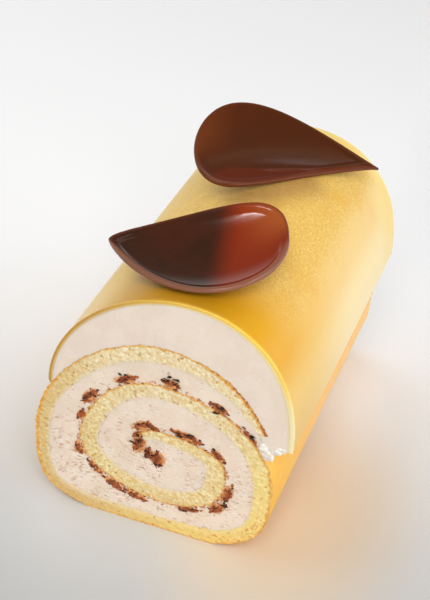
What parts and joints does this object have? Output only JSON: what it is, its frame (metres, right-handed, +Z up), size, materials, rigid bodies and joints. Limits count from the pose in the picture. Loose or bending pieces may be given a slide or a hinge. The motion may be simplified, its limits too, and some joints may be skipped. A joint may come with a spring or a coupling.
{
  "type": "swiss roll cake",
  "caption": "Swiss roll of sponge and cream with caramel nut pieces, topped by a mousse dome, a mango glaze and curved chocolate petals.",
  "frame": {"origin": "middle of the flat base under the roll, midway along the cake's length", "axes": "+Z up, +Y along the cake from the shown cut face to the back one, +X to the right of the shown cut face"},
  "size_m": [0.0904, 0.1286, 0.1127],
  "materials": {
    "sponge": "open pale yellow crumb with a golden skin",
    "cream": "matt pinkish beige cream with brown caramel nut pieces",
    "mousse": "smooth matt pale mousse",
    "glaze": "satin mango glaze, a little frosted on top",
    "chocolate": "glossy dark chocolate"
  },
  "bodies": {
    "root": {"sponge": "sponge", "cream": "cream", "mousse": "mousse", "glaze": "glaze", "petal_front": "chocolate", "petal_back": "chocolate"}
  },
  "joints": []
}
